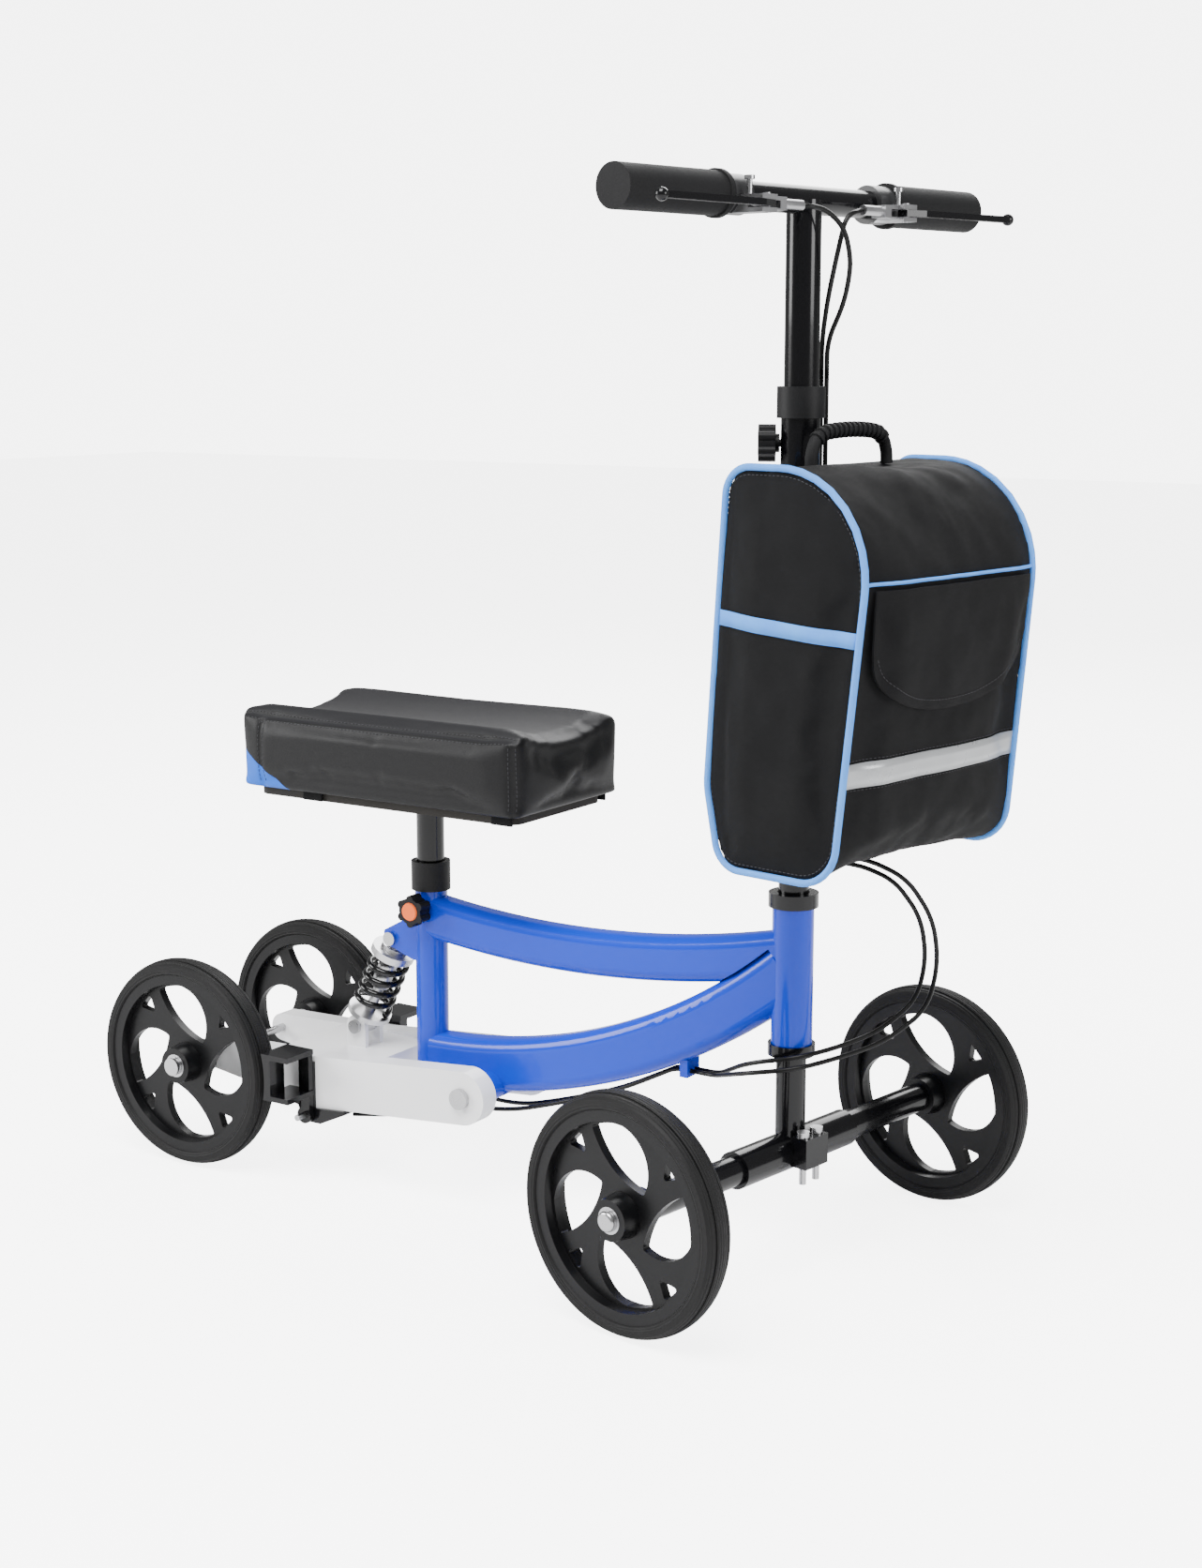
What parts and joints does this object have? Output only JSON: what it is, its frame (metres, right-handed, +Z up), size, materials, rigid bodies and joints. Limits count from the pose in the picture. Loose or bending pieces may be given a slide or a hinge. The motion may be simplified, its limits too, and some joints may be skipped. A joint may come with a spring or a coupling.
{
  "type": "knee scooter",
  "caption": "Steerable knee scooter on wide front and narrow rear wheels, with a padded knee rest, folding column, sprung rear arm, hand brakes and front bag.",
  "frame": {"origin": "on the floor under the middle of the bounding box, on the centre plane of the frame", "axes": "+X forward, +Y to the rider's left, +Z up"},
  "size_m": [0.8683, 0.4708, 0.9025],
  "materials": {
    "black_paint": "gloss",
    "black_plastic": "satin",
    "blue_paint": "gloss",
    "board": "black stained plywood",
    "cable_housing": "smooth",
    "grip_rubber": "matt",
    "knob_plastic": "satin",
    "leatherette": "grained",
    "nylon": "woven",
    "rim_plastic": "satin",
    "silver_alloy": "satin",
    "spring_paint": "gloss",
    "steel": "bright",
    "tyre_rubber": "matt",
    "white_paint": "gloss"
  },
  "bodies": {
    "frame": {"head_tube": "blue_paint", "top_tube": "blue_paint", "down_tube": "blue_paint", "seat_tube": "blue_paint", "headset_cups": "black_paint", "headset_bearings": "steel", "seat_collar": "black_plastic", "frame_bolts": "steel", "cables_frame": "cable_housing"},
    "steering": {"steerer": "black_paint", "front_axle": "black_paint", "clamp_bolts": "steel", "front_hub_bolts": "steel", "fold_base": "black_paint", "fold_pin": "steel", "cables_loop": "cable_housing"},
    "wheel_front_right": {"tyre_front_right": "tyre_rubber", "rim_front_right": "rim_plastic", "bearings_front_right": "steel"},
    "wheel_front_left": {"tyre_front_left": "tyre_rubber", "rim_front_left": "rim_plastic", "bearings_front_left": "steel"},
    "column": {"fold_head": "black_paint", "column_tube": "black_paint", "column_collar": "black_plastic", "bag": "nylon", "bag_handle": "grip_rubber", "cables_column": "cable_housing"},
    "fold_latch": {"fold_latch": "black_paint"},
    "column_knob": {"column_knob": "knob_plastic"},
    "bag_flap": {"bag_flap": "nylon"},
    "handle": {"stem_tube": "black_paint", "handlebar": "black_paint", "grips": "grip_rubber", "lever_clamps": "silver_alloy", "cables_bar": "cable_housing"},
    "brake_lever_right": {"brake_lever_right": "black_paint"},
    "brake_lever_left": {"brake_lever_left": "black_paint"},
    "lock_pin_right": {"lock_pin_right": "steel"},
    "lock_pin_left": {"lock_pin_left": "steel"},
    "knee_rest": {"seat_post": "black_paint", "pad_board": "board", "knee_pad": "leatherette"},
    "seat_knob": {"seat_knob": "knob_plastic"},
    "swing_arm": {"swing_arm": "white_paint", "rear_axle": "steel", "brake_brackets": "black_paint", "arm_pins": "steel", "cables_arm": "cable_housing"},
    "wheel_rear_right": {"tyre_rear_right": "tyre_rubber", "rim_rear_right": "rim_plastic", "bearings_rear_right": "steel"},
    "wheel_rear_left": {"tyre_rear_left": "tyre_rubber", "rim_rear_left": "rim_plastic", "bearings_rear_left": "steel"},
    "shock_upper": {"shock_body": "silver_alloy", "shock_spring": "spring_paint"},
    "shock_lower": {"shock_rod": "silver_alloy"},
    "brake_arm_right": {"brake_arm_right": "black_paint"},
    "brake_arm_left": {"brake_arm_left": "black_paint"}
  },
  "joints": [
    {"name": "steering_turn", "type": "hinge", "parent": "frame", "child": "steering", "pos_m": [0.267, 0, 0.25], "axis": [0, 0, 1], "range_deg": [-30.7, 49.3], "deforming": ["cables_loop"]},
    {"name": "wheel_front_right_spin", "type": "hinge", "parent": "steering", "child": "wheel_front_right", "pos_m": [0.23322, -0.20625, 0.1], "axis": [0.1616, 0.9869, 0], "continuous": true},
    {"name": "wheel_front_left_spin", "type": "hinge", "parent": "steering", "child": "wheel_front_left", "pos_m": [0.30078, 0.20625, 0.1], "axis": [0.1616, 0.9869, 0], "continuous": true},
    {"name": "column_fold", "type": "hinge", "parent": "steering", "child": "column", "pos_m": [0.23739, 0.00485, 0.372], "axis": [0.1616, 0.9869, 0], "range_deg": [-60, 0]},
    {"name": "fold_latch_open", "type": "hinge", "parent": "steering", "child": "fold_latch", "pos_m": [0.26167, -0.03257, 0.348], "axis": [0.9869, -0.1616, 0], "range_deg": [0, 80]},
    {"name": "column_knob_turn", "type": "hinge", "parent": "column", "child": "column_knob", "pos_m": [0.24572, -0.01111, 0.694], "axis": [-0.8864, -0.4628, 0], "continuous": true},
    {"name": "bag_flap_lift", "type": "hinge", "parent": "column", "child": "bag_flap", "pos_m": [0.41626, -0.02444, 0.5923], "axis": [-0.1616, -0.9869, 0], "range_deg": [0, 80]},
    {"name": "handle_height", "type": "slide", "parent": "column", "child": "handle", "axis": [0, 0, 1], "range_m": [-0.1, 0.08], "deforming": ["cables_bar"]},
    {"name": "brake_lever_right_pull", "type": "hinge", "parent": "handle", "child": "brake_lever_right", "pos_m": [0.28601, -0.09431, 0.876], "axis": [0, 0, -1], "range_deg": [0, 9], "stiffness_Nm_per_rad": 1, "springref_deg": -5.73},
    {"name": "brake_lever_left_pull", "type": "hinge", "parent": "handle", "child": "brake_lever_left", "pos_m": [0.3151, 0.08332, 0.876], "axis": [0, 0, 1], "range_deg": [0, 9], "stiffness_Nm_per_rad": 1, "springref_deg": -5.73},
    {"name": "lock_pin_right_press", "type": "slide", "parent": "handle", "child": "lock_pin_right", "axis": [0, 0, -1], "range_m": [0, 0.003], "stiffness_N_per_m": 100, "springref_m": -0.002},
    {"name": "lock_pin_left_press", "type": "slide", "parent": "handle", "child": "lock_pin_left", "axis": [0, 0, -1], "range_m": [0, 0.003], "stiffness_N_per_m": 100, "springref_m": -0.002},
    {"name": "knee_rest_height", "type": "slide", "parent": "frame", "child": "knee_rest", "axis": [0, 0, 1], "range_m": [-0.05, 0.09]},
    {"name": "seat_knob_turn", "type": "hinge", "parent": "frame", "child": "seat_knob", "pos_m": [-0.1125, -0.019, 0.263], "axis": [0, -1, 0], "continuous": true},
    {"name": "arm_swing", "type": "hinge", "parent": "frame", "child": "swing_arm", "pos_m": [-0.035, 0, 0.107], "axis": [0, 1, 0], "range_deg": [0, 5], "stiffness_Nm_per_rad": 900, "springref_deg": -3.44, "deforming": ["shock_spring", "cables_arm"]},
    {"name": "wheel_rear_right_spin", "type": "hinge", "parent": "swing_arm", "child": "wheel_rear_right", "pos_m": [-0.334, -0.0935, 0.1], "axis": [0, 1, 0], "continuous": true},
    {"name": "wheel_rear_left_spin", "type": "hinge", "parent": "swing_arm", "child": "wheel_rear_left", "pos_m": [-0.334, 0.0935, 0.1], "axis": [0, 1, 0], "continuous": true},
    {"name": "shock_upper_swing", "type": "hinge", "parent": "frame", "child": "shock_upper", "pos_m": [-0.15, 0, 0.229], "axis": [0, 1, 0], "range_deg": [0, 2.06]},
    {"name": "shock_lower_swing", "type": "hinge", "parent": "swing_arm", "child": "shock_lower", "pos_m": [-0.194, 0, 0.137], "axis": [0, 1, 0], "range_deg": [-3.14, 0]},
    {"name": "brake_arm_right_grip", "type": "hinge", "parent": "swing_arm", "child": "brake_arm_right", "pos_m": [-0.211, -0.07, 0.062], "axis": [0, -1, 0], "range_deg": [0, 1.95]},
    {"name": "brake_arm_left_grip", "type": "hinge", "parent": "swing_arm", "child": "brake_arm_left", "pos_m": [-0.211, 0.07, 0.062], "axis": [0, -1, 0], "range_deg": [0, 1.95]}
  ],
  "couplings": [
    {"joint": "shock_upper_swing", "follows": "arm_swing", "ratio": 0.39291},
    {"joint": "shock_lower_swing", "follows": "arm_swing", "ratio": -0.60709},
    {"joint": "brake_arm_right_grip", "follows": "brake_lever_right_pull", "ratio": 0.21111},
    {"joint": "brake_arm_left_grip", "follows": "brake_lever_left_pull", "ratio": 0.21111}
  ]
}
